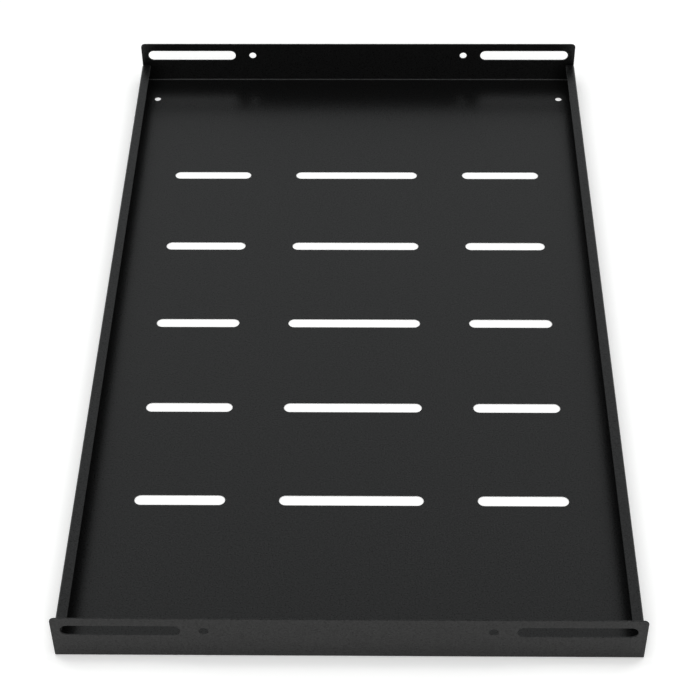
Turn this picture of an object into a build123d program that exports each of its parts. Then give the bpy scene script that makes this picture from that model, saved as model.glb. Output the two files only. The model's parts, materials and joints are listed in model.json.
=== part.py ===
"""Fixed shelf for a 19 inch equipment rack, folded from one sheet of steel.

The sheet is cut flat and then folded along six lines. The floor carries the equipment and
has three columns of ventilation slots. Two tall end flanges, front and rear, carry long
horizontal slots for the bolts that fix the shelf to the rack's uprights. Two low side
walls, each with a narrow lip folded inwards along its top, stiffen the long edges. The
lips stop short of the flanges.

Millimetres. +X is to the right, +Y towards the rear and +Z up. The origin is the centre of
the floor's underside.
"""

import os

from build123d import *

# Sheet and its folds
SHEET = 1.2  # thickness of the steel
BEND_INSIDE = 1.2  # radius on the hollow side of every fold

# Overall sizes, measured over the outside faces
WIDTH = 482.6
DEPTH = 800.0
FLANGE_HEIGHT = 49.0
WALL_HEIGHT = 24.3  # to the top of the lip
LIP_WIDTH = 9.7  # from the wall's outside face to the lip's free edge
LIP_FRONT_INSET = 16.0  # from the front flange's outside face to the lip's end
LIP_REAR_INSET = 5.5  # from the rear flange's outside face to the lip's end
WALL_END_HEIGHT = 20.5  # height of the plain wall beyond the lip's ends

# Corners
FLANGE_CORNER = 4.5  # radius at the top of each end flange
LIP_CORNER = 2.0  # radius at each end of a lip's free edge
WALL_GAP = 0.3  # between a wall's end and the flange that it meets
RELIEF_WIDTH = 1.0  # slit that frees a side fold from the end fold beside it
RELIEF_DEPTH = 0.8  # how far that slit reaches past the side fold, into the floor

# Slots in the floor
ROWS = 5
ROW_PITCH = 114.5
FRONT_ROW_INSET = 169.5  # from the front flange's outside face to the first row
FLOOR_SLOT_WIDTH = 11.8
MIDDLE_SLOT_LENGTH = 128.0
SIDE_SLOT_LENGTH = 80.5
SIDE_SLOT_X = 152.1  # from the shelf's centre line to the slot's centre

# Slots and holes in the end flanges
FIXING_SLOT_LENGTH = 97.3
FIXING_SLOT_WIDTH = 11.8
FIXING_SLOT_INSET = 56.3  # from the flange's end to the slot's centre
FIXING_HOLE_DIAMETER = 7.6
FIXING_HOLE_INSET = 124.0  # from the flange's end to the hole's centre
FIXING_DROP = 15.2  # from the flange's top edge down to the line of slots and holes

# Two holes at the rear of the floor
FLOOR_HOLE_DIAMETER = 7.0
FLOOR_HOLE_INSET_X = 18.4  # from the wall's outside face
FLOOR_HOLE_INSET_Y = 37.3  # from the rear flange's outside face

# Places worked out from the sizes
bend_outside = BEND_INSIDE + SHEET
half_width = WIDTH / 2
half_depth = DEPTH / 2
floor_half_width = half_width - bend_outside
floor_half_depth = half_depth - bend_outside
wall_half_length = half_depth - SHEET - WALL_GAP
fixing_height = FLANGE_HEIGHT - FIXING_DROP
fixing_slot_x = half_width - FIXING_SLOT_INSET
fixing_hole_x = half_width - FIXING_HOLE_INSET
row_y = [-half_depth + FRONT_ROW_INSET + row * ROW_PITCH for row in range(ROWS)]

with BuildPart() as rack_shelf:
    # Floor, up to where the four folds begin
    with BuildSketch(Plane.XY):
        Rectangle(2 * floor_half_width, 2 * floor_half_depth)
    extrude(amount=SHEET)

    # Side walls: fold up, wall, fold inwards and lip, drawn along the outside of the bend
    with BuildSketch(Plane.XZ):
        with BuildLine():
            foot = JernArc((floor_half_width, 0), (1, 0), bend_outside, 90)
            wall = Line(foot @ 1, (half_width, WALL_HEIGHT - bend_outside))
            shoulder = JernArc(wall @ 1, (0, 1), bend_outside, 90)
            Line(shoulder @ 1, (half_width - LIP_WIDTH, WALL_HEIGHT))
            offset(amount=SHEET, side=Side.LEFT)
        make_face()
        mirror(about=Plane.YZ)
    extrude(amount=wall_half_length, both=True)

    # Notches that end the lips and their folds short of the flanges
    for end_y, inset in ((-half_depth, LIP_FRONT_INSET), (half_depth, LIP_REAR_INSET)):
        with Locations((-half_width, end_y, WALL_HEIGHT), (half_width, end_y, WALL_HEIGHT)):
            Box(
                4 * LIP_WIDTH,
                2 * inset,
                2 * (WALL_HEIGHT - WALL_END_HEIGHT),
                mode=Mode.SUBTRACT,
            )

    # Rounded corners at the ends of the two lips' free edges
    lip_edges = rack_shelf.edges().filter_by(Axis.Z).filter_by_position(
        Axis.Z, WALL_HEIGHT - SHEET, WALL_HEIGHT
    )
    fillet(lip_edges, radius=LIP_CORNER)

    # Relief slits at the four corners, where a side fold and an end fold meet
    with Locations(
        *[(x, y) for x in (-half_width, half_width) for y in (-half_depth, half_depth)]
    ):
        Box(
            2 * (bend_outside + RELIEF_DEPTH),
            2 * (bend_outside + RELIEF_WIDTH),
            2 * bend_outside,
            mode=Mode.SUBTRACT,
        )

    # End flanges: fold up and flange, over the full width
    with BuildSketch(Plane.YZ):
        with BuildLine():
            heel = JernArc((floor_half_depth, 0), (1, 0), bend_outside, 90)
            Line(heel @ 1, (half_depth, FLANGE_HEIGHT))
            offset(amount=SHEET, side=Side.LEFT)
        make_face()
        mirror(about=Plane.YZ)
    extrude(amount=half_width, both=True)

    # Rounded top corners of the end flanges
    flange_corners = rack_shelf.edges().filter_by(Axis.Y).group_by(Axis.Z)[-1]
    fillet(flange_corners, radius=FLANGE_CORNER)

    # Ventilation slots: a long one on the centre line and a short one on each side
    with BuildSketch(Plane.XY):
        with Locations(*[(0, y) for y in row_y]):
            SlotOverall(MIDDLE_SLOT_LENGTH, FLOOR_SLOT_WIDTH)
        with Locations(*[(side * SIDE_SLOT_X, y) for side in (-1, 1) for y in row_y]):
            SlotOverall(SIDE_SLOT_LENGTH, FLOOR_SLOT_WIDTH)
    extrude(amount=SHEET, mode=Mode.SUBTRACT)

    # Holes near the rear corners of the floor
    floor_hole_x = half_width - FLOOR_HOLE_INSET_X
    floor_hole_y = half_depth - FLOOR_HOLE_INSET_Y
    with BuildSketch(Plane.XY):
        with Locations((-floor_hole_x, floor_hole_y), (floor_hole_x, floor_hole_y)):
            Circle(FLOOR_HOLE_DIAMETER / 2)
    extrude(amount=SHEET, mode=Mode.SUBTRACT)

    # Fixing slots and holes, cut through both end flanges at once
    with BuildSketch(Plane.XZ):
        with Locations((-fixing_slot_x, fixing_height), (fixing_slot_x, fixing_height)):
            SlotOverall(FIXING_SLOT_LENGTH, FIXING_SLOT_WIDTH)
        with Locations((-fixing_hole_x, fixing_height), (fixing_hole_x, fixing_height)):
            Circle(FIXING_HOLE_DIAMETER / 2)
    extrude(amount=half_depth, both=True, mode=Mode.SUBTRACT)

rack_shelf.part.label = "rack_shelf"

os.makedirs("parts", exist_ok=True)
export_step(rack_shelf.part, "parts/rack_shelf.step")
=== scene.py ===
"""A folded steel shelf for a 19 inch equipment rack, in black powder coat.

The shelf is made as the real one is: a flat blank is drawn with its cut-outs, its cut edges
are softened as deburring and coating leave them, and the blank is then folded. Every size is
in metres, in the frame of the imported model.
"""

import json
import math

import bpy
import numpy as np
from mathutils import Matrix, Vector
from mathutils.geometry import delaunay_2d_cdt


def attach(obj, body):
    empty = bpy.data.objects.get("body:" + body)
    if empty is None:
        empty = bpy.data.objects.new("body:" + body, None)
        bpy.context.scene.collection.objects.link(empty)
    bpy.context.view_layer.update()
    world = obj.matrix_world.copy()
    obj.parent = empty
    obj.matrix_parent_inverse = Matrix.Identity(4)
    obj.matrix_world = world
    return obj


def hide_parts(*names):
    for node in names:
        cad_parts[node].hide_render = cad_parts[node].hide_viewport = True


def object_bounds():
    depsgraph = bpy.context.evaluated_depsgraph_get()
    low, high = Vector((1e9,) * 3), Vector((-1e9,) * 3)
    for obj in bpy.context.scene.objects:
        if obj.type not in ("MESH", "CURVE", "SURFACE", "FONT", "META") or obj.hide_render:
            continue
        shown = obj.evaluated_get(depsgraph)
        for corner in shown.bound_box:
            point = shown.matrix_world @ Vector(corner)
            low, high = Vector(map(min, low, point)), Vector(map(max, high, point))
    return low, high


bl_info = {
    "name": "Rack Shelf",
    "version": (1, 0, 0),
    "blender": (4, 5, 0),
    "location": "3D View > Sidebar > Rack Shelf",
    "description": "Folds a powder coated shelf for a 19 inch rack and sets up its studio",
    "category": "Add Mesh",
}

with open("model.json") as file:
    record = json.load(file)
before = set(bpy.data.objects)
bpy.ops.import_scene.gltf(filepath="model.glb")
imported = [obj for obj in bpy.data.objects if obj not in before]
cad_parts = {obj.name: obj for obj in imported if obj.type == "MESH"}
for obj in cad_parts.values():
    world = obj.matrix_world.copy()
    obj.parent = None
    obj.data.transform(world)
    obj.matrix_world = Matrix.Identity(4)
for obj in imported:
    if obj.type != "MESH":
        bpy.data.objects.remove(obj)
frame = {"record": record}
CAD_BOX = [list(corner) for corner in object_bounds()]
MOUNTS = {mount["name"]: mount for mount in frame["record"]["mounts"]}
MM = 0.001
TO_MM = 1000
TOUCH = 1e-7  # two places nearer than this are one place
TOUCH_MM = 1e-6  # the same in the triangulation, which works in millimetres

# Facets round a corner of the blank and a quarter of a softened edge
CORNER_STEPS, EDGE_STEPS = 6, 5
# Facets round half of a slot or a hole
FLOOR_SLOT_STEPS, FIXING_SLOT_STEPS, HOLE_STEPS = 20, 24, 16

# Powder coat
GRAIN_FLATNESS = 14  # a bump of the grain is this many times wider than deep
RIPPLE_FLATNESS = 400  # and so is a wave of the ripple
GRAIN_RANGE = (0.3, 0.7)  # most of the noise of the grain lies between these
SHINE_SPREAD = 0.04  # how far the grain moves the roughness either way
GLOSS, GLOSS_SPREAD = 0.5, 0.16  # level of the reflection, and how far the grain moves it
COAT_IOR = 1.33  # under the 1.5 of plain polyester, which fits the dim reflections

# Heights of a direction, the sine of its elevation, between which the room's light changes
WALL_FADE = (0.2, 0.45)  # the walls go from white to pale, where they are seen
CEILING_RISE = (0.50, 0.64)  # the walls end and the ceiling begins
CEILING_FALL = (0.76, 0.88)  # the ceiling dims towards the zenith
PALE_WALL = 0.62  # light of the pale part of the walls
ZENITH_SHARE = 0.45  # share of the ceiling's light that is left at the zenith
ROOM_COLOUR = "FBFEFF"

# Studio floor
FLOOR_REACH = 20.0  # from the middle to each side
FLOOR_DROP = 0.2 * MM  # below the shelf's underside, so that the two don't flicker

# Pairs of soft lamps: x of each lamp, and then each pair's size, y and z, and aim
LAMP_SIDES = (("left", -0.85), ("right", 0.85))
OVERHEAD_SIZE, OVERHEAD_PLACE, OVERHEAD_AIM = (0.5, 1.0), (0.1, 2.4), (0.0, -0.2, 0.0)
FRONT_SIZE, FRONT_PLACE, FRONT_AIM = (0.6, 1.2), (-3.2, 1.0), (0.0, -0.3, 0.0)

# Camera
CAMERA_PLACE = (0.02288, -1.3224, 1.2437)
CAMERA_ANGLES = (-1.182, 44.074, -0.668)  # yaw, pitch and roll in degrees
FOCAL_PIXELS, PICTURE_PIXELS = 1863.7, 700  # focal length and width of the photograph
SENSOR_WIDTH = 36.0  # in millimetres, as a camera counts it


def mount_size(name, key):
    """A size of one of the record's mounts, in metres."""
    return MOUNTS[name]["dims"][key] * MM


def linear(hex_colour):
    """Turns an sRGB hex colour such as "1A1A1B" to linear red, green, blue and alpha."""
    srgb = np.array([int(hex_colour[i : i + 2], 16) for i in (0, 2, 4)]) / 255
    rgb = np.where(srgb <= 0.04045, srgb / 12.92, ((srgb + 0.055) / 1.055) ** 2.4)
    return (*rgb, 1.0)


def length(name, default, description):
    """A length that a user may change, shown in the scene's unit."""
    return bpy.props.FloatProperty(
        name=name,
        description=description,
        default=default,
        min=0.0,
        precision=5,
        subtype="DISTANCE",
        unit="LENGTH",
    )


class ShelfSizes(bpy.types.PropertyGroup):
    """Sizes of the folded sheet."""

    width: length("Width", CAD_BOX[1][0] - CAD_BOX[0][0], "Over the outside of the side walls")
    depth: length("Depth", CAD_BOX[1][1] - CAD_BOX[0][1], "Over the outside of the end flanges")
    flange_height: length("Flange Height", CAD_BOX[1][2], "From the underside to a flange's top")
    wall_height: length("Wall Height", 24.3 * MM, "From the underside to a lip's top")
    lip_width: length("Lip Width", 9.7 * MM, "From a wall's outside to the lip's free edge")
    lip_front: length("Lip Front", 16.0 * MM, "From the front face to the lips' front ends")
    lip_rear: length("Lip Rear", 5.5 * MM, "From the rear face to the lips' rear ends")
    wall_end_height: length("Wall End Height", 20.5 * MM, "Height of the wall beyond its lip")
    sheet: length("Sheet", 1.2 * MM, "Thickness of the steel")
    bend_inside: length("Bend Inside", 1.2 * MM, "Radius on the hollow side of a fold")
    flange_corner: length("Flange Corner", 4.5 * MM, "Radius of a flange's top corners")
    lip_corner: length("Lip Corner", 2.0 * MM, "Radius at the ends of a lip")
    cut_corner: length("Cut Corner", 0.6 * MM, "Radius of the other corners of the blank")
    wall_gap: length("Wall Gap", 0.3 * MM, "Between a wall's end and the flange")
    relief_width: length("Relief Width", 1.0 * MM, "Slit beside the end of a side fold")
    relief_depth: length("Relief Depth", 0.8 * MM, "How far the slit reaches into the floor")
    edge_round: length("Edge Round", 0.4 * MM, "Radius that the coat leaves along a cut edge")
    row_pitch: length("Row Pitch", 114.5 * MM, "Between two rows of floor slots")
    front_row: length("Front Row", 169.5 * MM, "From the front face to the first row")
    floor_slot_width: length("Floor Slot Width", 11.8 * MM, "Width of a floor slot")
    middle_slot: length("Middle Slot", 128.0 * MM, "Length of a floor slot in the middle")
    side_slot: length("Side Slot", 80.5 * MM, "Length of a floor slot at the side")
    side_slot_x: length("Side Slot X", 152.1 * MM, "From the centre line to a side slot")
    rows: bpy.props.IntProperty(
        name="Rows", description="Rows of slots in the floor", default=5, min=1
    )
    fold_steps: bpy.props.IntProperty(
        name="Fold Steps", description="Facets across each fold", default=12, min=2
    )


class CoatSettings(bpy.types.PropertyGroup):
    """Look of the powder coat."""

    colour: bpy.props.FloatVectorProperty(
        name="Colour",
        description="Colour of the black powder",
        default=linear("080808"),
        size=4,
        subtype="COLOR",
        min=0.0,
        max=1.0,
    )
    roughness: bpy.props.FloatProperty(
        name="Roughness",
        description="How far the satin coat spreads a reflection",
        default=0.3,
        min=0.0,
        max=1.0,
        subtype="FACTOR",
    )
    grain: length("Grain", 1.3 * MM, "Width of a bump of the coat's fine grain")
    ripple: length("Ripple", 4.0 * MM, "Width of a wave where the powder ran together")


class StudioSettings(bpy.types.PropertyGroup):
    """Floor, light and background."""

    floor_colour: bpy.props.FloatVectorProperty(
        name="Floor Colour",
        description="Colour of the studio's floor",
        default=linear("F9F8F7"),
        size=4,
        subtype="COLOR",
        min=0.0,
        max=1.0,
    )
    ceiling: bpy.props.FloatProperty(
        name="Ceiling",
        description="Light from the pale ceiling",
        default=1.25,
        min=0.0,
    )
    walls: bpy.props.FloatProperty(
        name="Walls",
        description="Light that the walls shed on the object and the floor",
        default=0.05,
        min=0.0,
    )
    glow: bpy.props.FloatProperty(
        name="Floor Glow",
        description="Lifts the floor to white where it is seen",
        default=0.25,
        min=0.0,
    )
    overhead: bpy.props.FloatProperty(
        name="Overhead Lamps",
        description="Power of each of the two soft lamps above the shelf",
        default=8.0,
        min=0.0,
        unit="POWER",
    )
    front: bpy.props.FloatProperty(
        name="Front Lamps",
        description="Power of each of the two tall soft lamps in front of the shelf",
        default=22.0,
        min=0.0,
        unit="POWER",
    )


def add_node(tree, kind, inputs=(), **settings):
    """Adds a node to a tree. inputs maps socket names or numbers to values or to sockets."""
    node = tree.nodes.new(kind)
    for name, value in settings.items():
        setattr(node, name, value)
    for key, value in dict(inputs).items():
        if isinstance(value, bpy.types.NodeSocket):
            tree.links.new(value, node.inputs[key])
        else:
            node.inputs[key].default_value = value
    return node


def powder_coat(settings):
    """Polyester powder coat, sprayed on dry and baked: a deep black with a satin shine.

    The powder melts into one skin with a fine grain, which breaks a reflection into specks
    near the eye, and with slow ripples, which make the reflection of a long edge waver. The
    grain also varies the skin's roughness and the strength of its reflection.
    """
    material = bpy.data.materials.new("powder_coated_steel")
    material.use_nodes = True
    tree = material.node_tree
    tree.nodes.clear()
    place = add_node(tree, "ShaderNodeTexCoord").outputs["Object"]
    grain = add_node(
        tree,
        "ShaderNodeTexNoise",
        {"Vector": place, "Scale": 1 / settings.grain, "Detail": 2.0, "Roughness": 0.6},
    )
    ripple = add_node(
        tree,
        "ShaderNodeTexNoise",
        {"Vector": place, "Scale": 1 / settings.ripple, "Detail": 1.0, "Roughness": 0.5},
    )
    rippled = add_node(
        tree,
        "ShaderNodeBump",
        {
            "Height": ripple.outputs["Fac"],
            "Strength": 1.0,
            "Distance": settings.ripple / RIPPLE_FLATNESS,
        },
    )
    grained = add_node(
        tree,
        "ShaderNodeBump",
        {
            "Height": grain.outputs["Fac"],
            "Strength": 1.0,
            "Distance": settings.grain / GRAIN_FLATNESS,
            "Normal": rippled.outputs["Normal"],
        },
    )
    by_grain = {
        "Value": grain.outputs["Fac"],
        "From Min": GRAIN_RANGE[0],
        "From Max": GRAIN_RANGE[1],
    }
    shine, gloss = (
        add_node(
            tree,
            "ShaderNodeMapRange",
            {**by_grain, "To Min": middle - spread, "To Max": middle + spread},
        )
        for middle, spread in ((settings.roughness, SHINE_SPREAD), (GLOSS, GLOSS_SPREAD))
    )
    shader = add_node(
        tree,
        "ShaderNodeBsdfPrincipled",
        {
            "Base Color": settings.colour,
            "Roughness": shine.outputs["Result"],
            "Specular IOR Level": gloss.outputs["Result"],
            "IOR": COAT_IOR,
            "Normal": grained.outputs["Normal"],
        },
    )
    add_node(tree, "ShaderNodeOutputMaterial", {"Surface": shader.outputs["BSDF"]})
    return material


def rounded_polygon(corners, radii, steps):
    """Points and outward directions of a polygon whose corners are rounded.

    At each corner an arc of the given radius touches both sides. Its centre lies on the
    corner's bisector, and the arc runs from one side's direction to the other's. The corners
    run counter-clockwise, and where one turns clockwise the arc curves the other way. Where
    two arcs meet, their shared point is kept once.
    """
    corners = np.asarray(corners, float)
    radii = np.asarray(radii, float)
    before = corners - np.roll(corners, 1, axis=0)
    after = np.roll(corners, -1, axis=0) - corners
    start = np.arctan2(before[:, 1], before[:, 0])
    turn = np.arctan2(after[:, 1], after[:, 0]) - start
    turn = (turn + np.pi) % (2 * np.pi) - np.pi
    back = radii * np.abs(np.tan(turn / 2))
    ahead = before / np.linalg.norm(before, axis=1, keepdims=True)
    left = np.stack([-ahead[:, 1], ahead[:, 0]], axis=1)
    side = np.sign(turn)[:, None]
    centre = corners - back[:, None] * ahead + side * radii[:, None] * left
    share = np.linspace(0, 1, steps + 1)
    angle = start[:, None] - np.pi / 2 + turn[:, None] * share
    outward = np.stack([np.cos(angle), np.sin(angle)], axis=2)
    points = centre[:, None] + side[:, None] * radii[:, None, None] * outward
    points, outward = points.reshape(-1, 2), outward.reshape(-1, 2)
    apart = np.linalg.norm(points - np.roll(points, 1, axis=0), axis=1) > TOUCH
    return points[apart], outward[apart]


def slot_loop(x, y, long, wide, steps):
    """Points and directions into the hole of a slot along x, or of a round hole.

    Two half circles of half the slot's width stand apart by its straight length. The loop runs
    clockwise, so that the sheet lies on its left as it does along the outline.
    """
    angle = np.linspace(np.pi / 2, -np.pi / 2, steps + 1)
    if long <= wide:
        angle = np.linspace(np.pi / 2, -1.5 * np.pi, 2 * steps + 1)[:-1]
    circle = np.stack([np.cos(angle), np.sin(angle)], axis=1)
    if long <= wide:
        return circle * wide / 2 + (x, y), -circle
    right = circle * wide / 2 + ((long - wide) / 2, 0)
    return np.concatenate([right, -right]) + (x, y), np.concatenate([-circle, circle])


def cut_at_folds(points, outward, inset, folds):
    """Adds points where the loop, moved in by inset, crosses the lines of the folds.

    Each segment that has its ends on both sides of a line gets a point in proportion, and its
    direction is mixed in the same proportion, so that the moved point lies on the line.
    """
    inner = points - inset * outward
    follow = np.roll(np.arange(len(points)), -1)
    at, share = [], []
    for axis, place, limit in folds:
        a, b = inner[:, axis] - place, inner[follow, axis] - place
        other = np.abs(inner[:, 1 - axis]) < limit
        cross = np.nonzero((a * b < 0) & other & (np.abs(a) > TOUCH) & (np.abs(b) > TOUCH))[0]
        at.append(cross)
        share.append(a[cross] / (a[cross] - b[cross]))
    at, share = np.concatenate(at), np.concatenate(share)
    order = np.lexsort((share, at))
    at, share = at[order], share[order][:, None]
    new_points = points[at] * (1 - share) + points[follow[at]] * share
    new_outward = outward[at] * (1 - share) + outward[follow[at]] * share
    return np.insert(points, at + 1, new_points, axis=0), np.insert(
        outward, at + 1, new_outward, axis=0
    )


def fold_up(along, height, start, legs, outside, sheet):
    """Carries the flat sheet round a chain of right-angled folds.

    along is the distance from the shelf's centre on the sheet's middle layer, and height is
    measured from its outer face. The layer runs straight to start and then turns through a
    quarter circle before each leg. The result is the distance across, the height, and the
    sine and cosine of the angle turned, which turn the sheet's own directions with it.
    """
    middle = outside - sheet / 2
    quarter = middle * np.pi / 2
    across = np.minimum(along, start)
    up = np.full_like(along, sheet / 2)
    turned = np.zeros_like(along)
    reached = start
    for number, leg in enumerate(legs):
        turn = np.clip((along - reached) / middle, 0, np.pi / 2)
        base = number * np.pi / 2
        across = across + middle * (np.sin(base + turn) - math.sin(base))
        up = up + middle * (math.cos(base) - np.cos(base + turn))
        turned = turned + turn
        run = np.clip(along - reached - quarter, 0, leg)
        across = across + run * round(math.cos(base + np.pi / 2))
        up = up + run * round(math.sin(base + np.pi / 2))
        reached = reached + quarter + leg
    sine, cosine = np.sin(turned), np.cos(turned)
    offset = height - sheet / 2
    return across - offset * sine, up + offset * cosine, sine, cosine


class FlatBlank:
    """The sheet before folding: its loops of cuts, and where each fold starts and ends."""

    def __init__(self, sizes):
        outside = sizes.bend_inside + sizes.sheet
        middle = outside - sizes.sheet / 2
        quarter = middle * math.pi / 2
        self.sheet = sizes.sheet
        self.outside = outside
        self.floor_x = sizes.width / 2 - outside
        self.floor_y = sizes.depth / 2 - outside
        self.wall_leg = sizes.wall_height - 2 * outside
        self.lip_leg = sizes.lip_width - outside
        self.flange_leg = sizes.flange_height - outside
        self.wall_x = self.floor_x + quarter
        self.lip_x = self.wall_x + self.wall_leg + quarter + self.lip_leg
        self.flange_y = self.floor_y + quarter
        self.top_y = self.flange_y + self.flange_leg
        self.slit_y = self.floor_y - sizes.relief_width / 2
        self.strip_x = (sizes.width / 2 + self.wall_x) / 2
        turns = np.linspace(0, quarter, sizes.fold_steps + 1)
        shoulder_x = self.wall_x + self.wall_leg
        self.folds = []
        for sign in (-1, 1):
            self.folds += [(0, sign * (self.floor_x + turn), self.slit_y) for turn in turns]
            self.folds += [(0, sign * (shoulder_x + turn), sizes.depth) for turn in turns]
            self.folds += [(1, sign * (self.floor_y + turn), self.strip_x) for turn in turns]
        self.loops = [self.outline(sizes)] + self.holes(sizes)

    def outline(self, sizes):
        """One corner of the blank, taken round all four, counter-clockwise."""
        half_width = sizes.width / 2
        slit_x = half_width - self.outside - sizes.relief_depth
        slit_y = self.floor_y - sizes.relief_width
        lip_y = sizes.depth / 2 - sizes.lip_rear
        lip_front_y = sizes.depth / 2 - sizes.lip_front
        wall_y = sizes.depth / 2 - sizes.sheet - sizes.wall_gap
        end_x = self.wall_x + sizes.wall_end_height - self.outside
        small, slit = sizes.cut_corner, sizes.relief_width / 2
        corner = [
            (self.lip_x, lip_y, sizes.lip_corner),
            (end_x, lip_y, small),
            (end_x, wall_y, small),
            (self.wall_x, wall_y, small),
            (self.wall_x, slit_y, small),
            (slit_x, slit_y, slit),
            (slit_x, self.floor_y, slit),
            (half_width, self.floor_y, small),
            (half_width, self.top_y, sizes.flange_corner),
        ]
        right_rear = np.array(corner)
        front = right_rear.copy()
        front[:2, 1] = lip_front_y
        left_rear = right_rear[::-1] * (-1, 1, 1)
        left_front = front * (-1, -1, 1)
        right_front = front[::-1] * (1, -1, 1)
        every = np.concatenate([right_rear, left_rear, left_front, right_front])
        return rounded_polygon(every[:, :2], every[:, 2], CORNER_STEPS)

    def holes(self, sizes):
        """Slots and holes in the floor and in the end flanges."""
        front = -sizes.depth / 2 + sizes.front_row
        loops = []
        columns = (
            (0, sizes.middle_slot),
            (-sizes.side_slot_x, sizes.side_slot),
            (sizes.side_slot_x, sizes.side_slot),
        )
        for row in range(sizes.rows):
            y = front + row * sizes.row_pitch
            for x, long in columns:
                loops.append(slot_loop(x, y, long, sizes.floor_slot_width, FLOOR_SLOT_STEPS))
        x = mount_size("floor_holes", "spacing_x_mm") / 2
        y = MOUNTS["floor_holes"]["pos_m"][1]
        wide = 2 * mount_size("floor_holes", "hole_r_mm")
        loops += [slot_loop(side * x, y, wide, wide, HOLE_STEPS) for side in (-1, 1)]
        for end, sign in (("front", -1), ("rear", 1)):
            slots, holes = end + "_slots", end + "_holes"
            y = sign * (self.flange_y + MOUNTS[slots]["pos_m"][2] - self.outside)
            x = mount_size(slots, "spacing_x_mm") / 2
            long, wide = mount_size(slots, "slot_length_mm"), 2 * mount_size(slots, "hole_r_mm")
            loops += [slot_loop(side * x, y, long, wide, FIXING_SLOT_STEPS) for side in (-1, 1)]
            x = mount_size(holes, "spacing_x_mm") / 2
            wide = 2 * mount_size(holes, "hole_r_mm")
            loops += [slot_loop(side * x, y, wide, wide, HOLE_STEPS) for side in (-1, 1)]
        return loops

    def folded(self, u, v, height, tilt):
        """Places and directions of points of the blank after folding.

        tilt holds each point's direction on the flat sheet. Beyond the floor's sides the
        point turns about lines along y, and beyond its ends about lines along x.
        """
        end = (np.abs(v) > self.slit_y) & (np.abs(u) < self.strip_x)
        side_u, side_v = np.sign(u), np.sign(v)
        x1, z1, sin1, cos1 = fold_up(
            np.abs(u),
            height,
            self.floor_x,
            (self.wall_leg, self.lip_leg),
            self.outside,
            self.sheet,
        )
        y2, z2, sin2, cos2 = fold_up(
            np.abs(v), height, self.floor_y, (self.flange_leg,), self.outside, self.sheet
        )
        places = np.where(
            end[:, None],
            np.stack([u, side_v * y2, z2], axis=1),
            np.stack([side_u * x1, v, z1], axis=1),
        )
        out_u, out_v, out_w = tilt[:, 0] * side_u, tilt[:, 1] * side_v, tilt[:, 2]
        turned_side = np.stack(
            [side_u * (out_u * cos1 - out_w * sin1), tilt[:, 1], out_u * sin1 + out_w * cos1],
            axis=1,
        )
        turned_end = np.stack(
            [tilt[:, 0], side_v * (out_v * cos2 - out_w * sin2), out_v * sin2 + out_w * cos2],
            axis=1,
        )
        return places, np.where(end[:, None], turned_end, turned_side)


def inside_loops(places, points, follow):
    """Whether places lie inside an odd number of loops.

    A ray runs to the right from each place, and the sides of the loops that it crosses are
    counted.
    """
    a, b = points, points[follow]
    rise = b[:, 1] - a[:, 1]
    safe = np.where(rise == 0, 1, rise)
    px, py = places[:, :1], places[:, 1:]
    spans = (a[:, 1] > py) != (b[:, 1] > py)
    ahead = px < a[:, 0] + (py - a[:, 1]) / safe * (b[:, 0] - a[:, 0])
    return (spans & ahead).sum(axis=1) % 2 == 1


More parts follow.
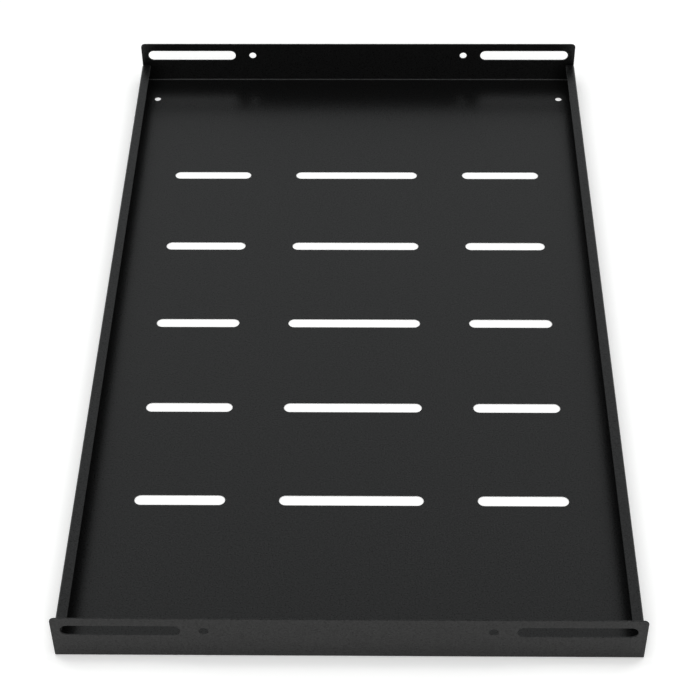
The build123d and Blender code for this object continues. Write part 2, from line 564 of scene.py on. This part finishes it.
def folded_sheet_mesh(sizes):
    """The folded sheet as one closed surface with softened cut edges.

    Round each loop of the blank runs a profile of two quarter circles joined by a straight
    line, which is the softened edge. Its first and last rows bound the two faces of the sheet,
    which are triangulated between the loops and along the lines of the folds. All points are
    then folded, and each keeps the exact direction of the surface for its shading.
    """
    blank = FlatBlank(sizes)
    soft, sheet = sizes.edge_round, sizes.sheet
    points, outward, follow = [], [], []
    count = 0
    for loop_points, loop_outward in blank.loops:
        loop_points, loop_outward = cut_at_folds(loop_points, loop_outward, soft, blank.folds)
        size = len(loop_points)
        points.append(loop_points)
        outward.append(loop_outward)
        follow.append(count + np.roll(np.arange(size), -1))
        count += size
    points, outward, follow = map(np.concatenate, (points, outward, follow))

    turn = np.radians(np.linspace(90, 0, EDGE_STEPS + 1))
    turn = np.concatenate([turn, -turn[::-1]])
    inset = soft * (1 - np.cos(turn))
    centre = np.where(np.arange(len(turn)) < len(turn) // 2, sheet - soft, soft)
    height = centre + soft * np.sin(turn)
    grid = points[None] - inset[:, None, None] * outward[None]
    unit = outward / np.linalg.norm(outward, axis=1, keepdims=True)
    tilt = np.concatenate(
        [
            unit[None] * np.cos(turn)[:, None, None],
            np.broadcast_to(np.sin(turn)[:, None, None], (len(turn), count, 1)),
        ],
        axis=2,
    )
    places, directions = blank.folded(
        grid[..., 0].ravel(), grid[..., 1].ravel(), np.repeat(height, count), tilt.reshape(-1, 3)
    )

    inner = points - soft * outward
    fold_edges = []
    for axis, place, limit in blank.folds:
        on_line = np.nonzero(
            (np.abs(inner[:, axis] - place) < TOUCH) & (np.abs(inner[:, 1 - axis]) < limit)
        )[0]
        ends = on_line[np.argsort(inner[on_line, 1 - axis])]
        if len(ends) >= 2:
            fold_edges.append((int(ends[0]), int(ends[-1])))
    loop_edges = list(zip(range(count), follow.tolist()))
    flat, _, triangles, *_ = delaunay_2d_cdt(
        [Vector(point) for point in (inner * TO_MM).tolist()],
        loop_edges + fold_edges,
        [],
        0,
        TOUCH_MM,
    )
    if len(flat) != count:
        raise ValueError(f"the folds cross the blank's outline: {len(flat)} points, not {count}")
    triangles = np.array(triangles)
    middles = inner[triangles].mean(axis=1)
    triangles = triangles[inside_loops(middles, inner, follow)]

    base = np.arange(count)
    ring = np.stack([base, base + count, follow + count, follow], axis=1)
    last = (len(turn) - 1) * count
    quads = np.concatenate([ring + first for first in range(0, last, count)])
    under = triangles[:, ::-1] + last
    faces = quads.tolist() + triangles.tolist() + under.tolist()
    mesh = bpy.data.meshes.new("folded_sheet")
    mesh.from_pydata(places.tolist(), [], faces)
    mesh.update()
    mesh.shade_smooth()
    mesh.normals_split_custom_set_from_vertices(directions.tolist())
    if mesh.validate(verbose=False):
        raise ValueError("the folded sheet's mesh had faults")
    return mesh


def link(name, data):
    """Puts new data into the scene as an object at the origin."""
    made = bpy.data.objects.new(name, data)
    bpy.context.scene.collection.objects.link(made)
    return made


class RACKSHELF_OT_sheet(bpy.types.Operator):
    """Cut, fold and coat the shelf's sheet"""

    bl_idname = "rack_shelf.sheet"
    bl_label = "Folded Sheet"

    def execute(self, context):
        sheet = link("folded_sheet", folded_sheet_mesh(context.scene.shelf_sizes))
        sheet.data.materials.append(powder_coat(context.scene.coat_settings))
        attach(sheet, "root")
        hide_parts("rack_shelf")
        return {"FINISHED"}


def seen_rays(tree):
    """1 for rays that show a thing, straight, in a mirror or through glass, and 0 for others."""
    path = add_node(tree, "ShaderNodeLightPath").outputs
    shown = add_node(
        tree,
        "ShaderNodeMath",
        {0: path["Is Camera Ray"], 1: path["Is Glossy Ray"]},
        operation="MAXIMUM",
    )
    return add_node(
        tree,
        "ShaderNodeMath",
        {0: shown.outputs[0], 1: path["Is Transmission Ray"]},
        operation="MAXIMUM",
    ).outputs[0]


def studio_floor_material(colour, glow):
    """Matt painted floor, rolled on: an even pale ground with no shine of its own.

    Where the camera sees it, straight or in a reflection, a weak glow lifts it to white, and
    the shadows on it stay.
    """
    material = bpy.data.materials.new("matt_floor_paint")
    material.use_nodes = True
    tree = material.node_tree
    tree.nodes.clear()
    paint = add_node(tree, "ShaderNodeBsdfDiffuse", {"Color": colour})
    strength = add_node(
        tree, "ShaderNodeMath", {0: seen_rays(tree), 1: glow}, operation="MULTIPLY"
    )
    lift = add_node(
        tree, "ShaderNodeEmission", {"Color": colour, "Strength": strength.outputs[0]}
    )
    both = add_node(tree, "ShaderNodeAddShader", {0: paint.outputs[0], 1: lift.outputs[0]})
    add_node(tree, "ShaderNodeOutputMaterial", {"Surface": both.outputs[0]})
    return material


def studio_room(walls, ceiling):
    """The room round the floor: dim walls under a pale ceiling, which dims overhead.

    The light depends on the height of a direction, the sine of its elevation. It rises in a
    smooth step where the walls end, and falls in another towards the zenith. Where the camera
    sees the walls, straight or in a reflection, they are white low down and pale above.
    """
    world = bpy.data.worlds.new("studio_room")
    world.use_nodes = True
    tree = world.node_tree
    tree.nodes.clear()
    direction = add_node(tree, "ShaderNodeTexCoord").outputs["Generated"]
    up = add_node(tree, "ShaderNodeSeparateXYZ", {"Vector": direction}).outputs["Z"]
    pale = add_node(
        tree,
        "ShaderNodeMapRange",
        {
            "Value": up,
            "From Min": WALL_FADE[0],
            "From Max": WALL_FADE[1],
            "To Min": 1.0,
            "To Max": PALE_WALL,
        },
    )
    low = add_node(
        tree,
        "ShaderNodeMapRange",
        {"Value": seen_rays(tree), "To Min": walls, "To Max": pale.outputs["Result"]},
    )
    rise = add_node(
        tree,
        "ShaderNodeMapRange",
        {
            "Value": up,
            "From Min": CEILING_RISE[0],
            "From Max": CEILING_RISE[1],
            "To Min": low.outputs["Result"],
            "To Max": ceiling,
        },
        interpolation_type="SMOOTHSTEP",
    )
    fall = add_node(
        tree,
        "ShaderNodeMapRange",
        {
            "Value": up,
            "From Min": CEILING_FALL[0],
            "From Max": CEILING_FALL[1],
            "To Min": 1.0,
            "To Max": ZENITH_SHARE,
        },
        interpolation_type="SMOOTHSTEP",
    )
    shade = add_node(
        tree,
        "ShaderNodeMath",
        {0: rise.outputs["Result"], 1: fall.outputs["Result"]},
        operation="MULTIPLY",
    )
    light = add_node(
        tree,
        "ShaderNodeBackground",
        {"Color": linear(ROOM_COLOUR), "Strength": shade.outputs[0]},
    )
    add_node(tree, "ShaderNodeOutputWorld", {"Surface": light.outputs["Background"]})
    bpy.context.scene.world = world


def soft_lamp(name, power, size, place, aim):
    """A soft box of a given width and length, which hangs at place and faces aim."""
    data = bpy.data.lights.new(name, "AREA")
    data.energy = power
    data.shape = "RECTANGLE"
    data.size, data.size_y = size
    lamp = link(name, data)
    lamp.visible_camera = False
    lamp.location = place
    lamp.rotation_euler = (Vector(aim) - Vector(place)).to_track_quat("-Z", "Y").to_euler()


def studio_camera():
    """The camera of the photograph: place, yaw, pitch, roll and focal length from its lines."""
    yaw, pitch, roll = (math.radians(angle) for angle in CAMERA_ANGLES)
    ahead = Vector(
        (math.sin(yaw) * math.cos(pitch), math.cos(yaw) * math.cos(pitch), -math.sin(pitch))
    )
    level = Vector((math.cos(yaw), -math.sin(yaw), 0))
    rise = level.cross(ahead)
    right = level * math.cos(roll) + rise * math.sin(roll)
    upward = rise * math.cos(roll) - level * math.sin(roll)
    data = bpy.data.cameras.new("studio_camera")
    data.sensor_width = SENSOR_WIDTH
    data.lens = FOCAL_PIXELS * SENSOR_WIDTH / PICTURE_PIXELS
    data.clip_end = 100.0
    camera = link("studio_camera", data)
    turn = Matrix((right, upward, -ahead)).transposed().to_4x4()
    camera.matrix_world = Matrix.Translation(CAMERA_PLACE) @ turn
    bpy.context.scene.camera = camera


class RACKSHELF_OT_stage(bpy.types.Operator):
    """Set up the floor, the light and the camera"""

    bl_idname = "rack_shelf.stage"
    bl_label = "Stage"

    def execute(self, context):
        studio = context.scene.studio_settings
        corners = [
            (x * FLOOR_REACH, y * FLOOR_REACH, -FLOOR_DROP)
            for x, y in ((-1, -1), (1, -1), (1, 1), (-1, 1))
        ]
        mesh = bpy.data.meshes.new("studio_floor")
        mesh.from_pydata(corners, [], [(0, 1, 2, 3)])
        floor = link("studio_floor", mesh)
        mesh.materials.append(studio_floor_material(studio.floor_colour, studio.glow))
        studio_room(studio.walls, studio.ceiling)
        for side, x in LAMP_SIDES:
            soft_lamp(
                "overhead_lamp_" + side,
                studio.overhead,
                OVERHEAD_SIZE,
                (x, *OVERHEAD_PLACE),
                OVERHEAD_AIM,
            )
            soft_lamp(
                "front_lamp_" + side, studio.front, FRONT_SIZE, (x, *FRONT_PLACE), FRONT_AIM
            )
        studio_camera()
        context.scene.view_settings.view_transform = "Standard"
        return {"FINISHED"}


class RACKSHELF_PT_panel(bpy.types.Panel):
    """The shelf's pieces and settings"""

    bl_label = "Rack Shelf"
    bl_idname = "RACKSHELF_PT_panel"
    bl_space_type = "VIEW_3D"
    bl_region_type = "UI"
    bl_category = "Rack Shelf"

    def draw(self, context):
        for operator, group in (
            (RACKSHELF_OT_sheet, context.scene.shelf_sizes),
            (None, context.scene.coat_settings),
            (RACKSHELF_OT_stage, context.scene.studio_settings),
        ):
            box = self.layout.box()
            if operator:
                box.operator(operator.bl_idname)
            for name in group.__annotations__:
                box.prop(group, name)


CLASSES = (
    ShelfSizes,
    CoatSettings,
    StudioSettings,
    RACKSHELF_OT_sheet,
    RACKSHELF_OT_stage,
    RACKSHELF_PT_panel,
)


def register():
    for cls in CLASSES:
        bpy.utils.register_class(cls)
    bpy.types.Scene.shelf_sizes = bpy.props.PointerProperty(type=ShelfSizes)
    bpy.types.Scene.coat_settings = bpy.props.PointerProperty(type=CoatSettings)
    bpy.types.Scene.studio_settings = bpy.props.PointerProperty(type=StudioSettings)


def unregister():
    del bpy.types.Scene.studio_settings
    del bpy.types.Scene.coat_settings
    del bpy.types.Scene.shelf_sizes
    for cls in reversed(CLASSES):
        bpy.utils.unregister_class(cls)


def main():
    register()
    bpy.ops.rack_shelf.sheet()
    bpy.ops.rack_shelf.stage()


if __name__ == "__main__":
    main()
